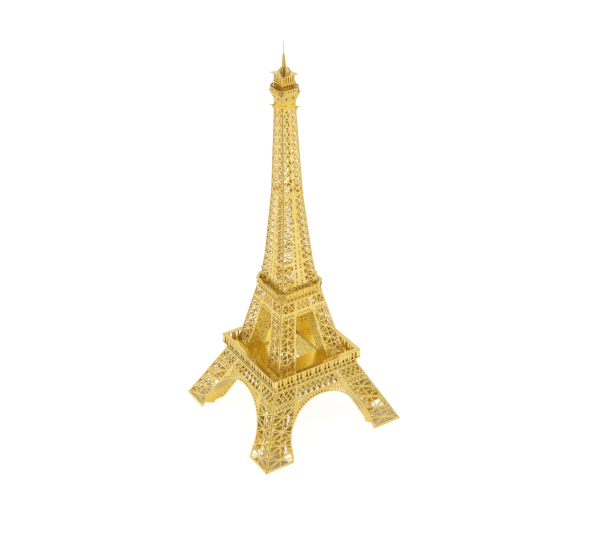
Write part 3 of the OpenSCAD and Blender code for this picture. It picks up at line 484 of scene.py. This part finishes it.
def band(outer, inner, foot, height, soft, chamfer=0.0):
    """A square or eight-sided moulding around the axis, in mm."""
    deselect()
    bpy.ops.mesh.primitive_plane_add(size=2 * outer * MM, location=(0, 0, foot * MM))
    piece = bpy.context.object
    bpy.ops.object.transform_apply(location=True, rotation=True, scale=True)
    bpy.ops.object.mode_set(mode="EDIT")
    bpy.ops.mesh.select_all(action="SELECT")
    if chamfer:
        bpy.ops.mesh.bevel(offset=chamfer * MM, segments=1, affect="VERTICES")
        bpy.ops.mesh.select_all(action="SELECT")
    bpy.ops.mesh.inset(thickness=(outer - inner) * MM)
    bpy.ops.mesh.delete(type="FACE")
    raise_and_soften(piece, height * MM, soft * MM, segments=2)
    return piece


trim_gold = gold_sheet(
    "trim_gold", (0.84, 0.66, 0.25), pale_gold, etched_brown, 0.10, 0.2, folded=False, inside_shade_colour=None)
mounted(band(27.92, 27.5, 38.8, 0.6, 0.1), "gallery_hem", trim_gold)
mounted(band(27.86, 27.45, 43.72, 0.42, 0.12), "gallery_rim", trim_gold)
mounted(band(26.5, 26.1, 35.35, 0.4, 0.08), "cornice_foot", trim_gold)
cornice_slopes = [on_slope(side, 26.25, 26.75, 35.5, 38.9) for side in range(4)]
pilaster = strap((-0.3, 0.3, 0.2), (-0.42, 0.42, 2.95), 0.28, 0.08)
mounted(
    placed(pilaster, [s @ move(-25.25 + i * 50.5 / 17, 0) for s in cornice_slopes for i in range(18)]),
    "cornice_pilasters", cornice_gold)

# ---- Second stage ----
# Four steeper folded legs with the same star lattice stand on the deck, joined by four beams.
stage_gold = gold_sheet("stage_gold", pale_gold, warm_gold, etched_brown, 0.16, 0.30, lean=12.6)
finish(stage_gold, *("stage_leg_" + c for c in CORNERS), *("beam_" + s for s in SIDES))
stage_inner_gold = gold_sheet(
    "stage_inner_gold", closing_gold, closing_brown, closing_brown, 0.3, 0.45, lean=9.8)
finish(stage_inner_gold, *("stage_inner_" + c for c in CORNERS))
stage_half, stage_top, stage_foot, stage_head = 21.5, 12.9, 40.9, 79.3
corner_straps(
    "stage_corner_straps", stage_half, stage_top, stage_foot, stage_head, 0.22, 0.55, 0.12, strap_gold)
slope_2 = [on_slope(side, stage_half, stage_top, stage_foot, stage_head) for side in range(4)]
stage_fall, beam_rail_height = 0.2185, 0.45
beam_rails = []
for foot in (30.45, 33.5, 38.55):
    reach = [stage_half - stage_fall * v - rail_inset for v in (foot, foot + beam_rail_height)]
    rail = strap((-reach[0], reach[0], foot), (-reach[1], reach[1], foot + beam_rail_height), 0.13, 0.05)
    beam_rails.append(placed(rail, slope_2))
mounted(joined(beam_rails), "beam_rails", strap_gold)

# ---- Second gallery ----
# The same construction with cut corners: cornice, deck, slotted parapet and rail.
upper_cornice_gold = gold_sheet(
    "upper_cornice_gold", warm_gold, deep_gold, etched_brown, 0.14, 0.26, lean=8, shaded=((82.0, 82.7),))
finish(upper_cornice_gold, "upper_cornice")
mounted(band(14.56, 14.2, 82.75, 0.5, 0.1, chamfer=4.15), "upper_hem", trim_gold)
mounted(band(14.52, 14.15, 85.25, 0.4, 0.12, chamfer=4.13), "upper_rim", trim_gold)
upper_slopes = [on_slope(side, 12.9, 13.4, 79.3, 82.9) for side in range(4)]
pilaster = strap((-0.25, 0.25, 0.2), (-0.34, 0.34, 3.2), 0.25, 0.07)
mounted(
    placed(pilaster, [s @ move(-9.9 + i * 2.2, 0) for s in upper_slopes for i in range(10)]),
    "upper_pilasters", upper_cornice_gold)

# ---- Shaft ----
# Four long sheets folded along two corners, joined by a splice plate. A plate with four spikes
# closes the top.
shaft_gold = gold_sheet("shaft_gold", pale_gold, warm_gold, etched_brown, 0.16, 0.30, lean=4)
finish(shaft_gold, "shaft_lower_front", "shaft_lower_back", "shaft_upper_front", "shaft_upper_back")
spike_gold = gold_sheet(
    "spike_gold", (0.60, 0.45, 0.14), (0.28, 0.22, 0.08), closing_brown, 0.2, 0.35, lean=90, folded=False,
    inside_shade_colour=None)
finish(spike_gold, "spike_plate")
corner_straps("shaft_root_straps", 11.5, 9.3, 83.2, 100.0, 0.2, 0.5, 0.12, strap_gold)
corner_straps("shaft_straps", 9.3, 6.0, 100.0, 138.55, 0.2, 0.5, 0.12, strap_gold)
corner_straps("shaft_top_straps", 6.0, 4.05, 138.85, 186.9, 0.18, 0.42, 0.1, strap_gold)
tab = strap((-0.55, 0.55, -0.15), (-0.55, 0.55, 0.15), 1.3, 0.05)
mounted(
    placed(tab, [
        quarter(side) @ Matrix.Rotation(math.radians(45), 4, "Z") @ move(14.9, 0, 90.3) for side in range(4)]),
    "shaft_tabs", tab_gold)

gusset = strap((-0.1, 0.1, 0), (-0.1, 1.1, 1.9), 0.3, 0.04)
mounted(
    placed(gusset, [
        quarter(side) @ Matrix.Rotation(math.radians(45), 4, "Z") @ move(5.85, 0.15, 185.0)
        @ Matrix.Rotation(math.radians(90), 4, "X") for side in range(4)]),
    "spike_gussets", tab_gold)

# ---- Summit ----
# Flared brackets carry a deck with an eight-sided parapet and two stacked cabins. Above the thin
# roof plate, two strips cross in a lantern that holds the rolled spire and its needle.
summit_gold = gold_sheet("summit_gold", warm_gold, deep_gold, etched_brown, 0.14, 0.28)
finish(summit_gold, "summit_brackets", "upper_cabin")
# The lower cabin takes a darker copy of the summit gold: painted shade of its recess.
shaded_cabin_gold = gold_sheet("shaded_cabin_gold", deep_gold, (0.70, 0.48, 0.07), etched_brown, 0.2, 0.34)
finish(shaded_cabin_gold, "lower_cabin")
spire_gold = gold_sheet(
    "spire_gold", warm_gold, deep_gold, etched_brown, 0.12, 0.24, folded=False, inside_shade_colour=None)
finish(spire_gold, "lantern_arch_outer")
# The cone and the arch faces inside the lantern get a dark gold: painted shade of the lantern's core.
shaded_cone_gold = gold_sheet(
    "shaded_cone_gold", (0.52, 0.37, 0.07), (0.44, 0.28, 0.03), etched_brown, 0.14, 0.26, folded=False,
    inside_shade_colour=None)
finish(shaded_cone_gold, "spire_cone", "lantern_arch_inner")
needle_gold = gold_sheet(
    "needle_gold", (0.66, 0.60, 0.42), (0.58, 0.50, 0.32), etched_brown, 0.16, 0.28, folded=False,
    inside_shade_colour=None)
finish(needle_gold, "needle")
roof_gold = gold_sheet(
    "roof_gold", (0.80, 0.70, 0.36), (0.74, 0.62, 0.27), etched_brown, 0.2, 0.32, lean=90, folded=False,
    inside_shade_colour=None)
finish(roof_gold, "roof_plate")
# The post in the middle of the lantern is dark brown: painted shade of the lantern's core.
shaded_post_brown = gold_sheet(
    "shaded_post_brown", (0.36, 0.20, 0.03), (0.20, 0.10, 0.02), (0.34, 0.19, 0.03), 0.3, 0.45, folded=False,
    inside_shade_colour=None)
finish(shaded_post_brown, "lantern_post")
mounted(band(6.42, 6.1, 195.2, 0.42, 0.08, chamfer=2.6), "summit_hem", trim_gold)
mounted(band(6.38, 6.1, 197.66, 0.36, 0.1, chamfer=2.58), "summit_rim", trim_gold)
mounted(band(4.3, 3.6, 200.15, 0.3, 0.06), "cabin_ledge", trim_gold)
mounted(band(4.1, 3.7, 203.95, 0.42, 0.08), "cabin_head", trim_gold)
collar = placed(ring(0.68, 0.42, 0.4, 0.06), [move(0, 0, 214.2)])
mounted(collar, "spire_collar", spire_gold)
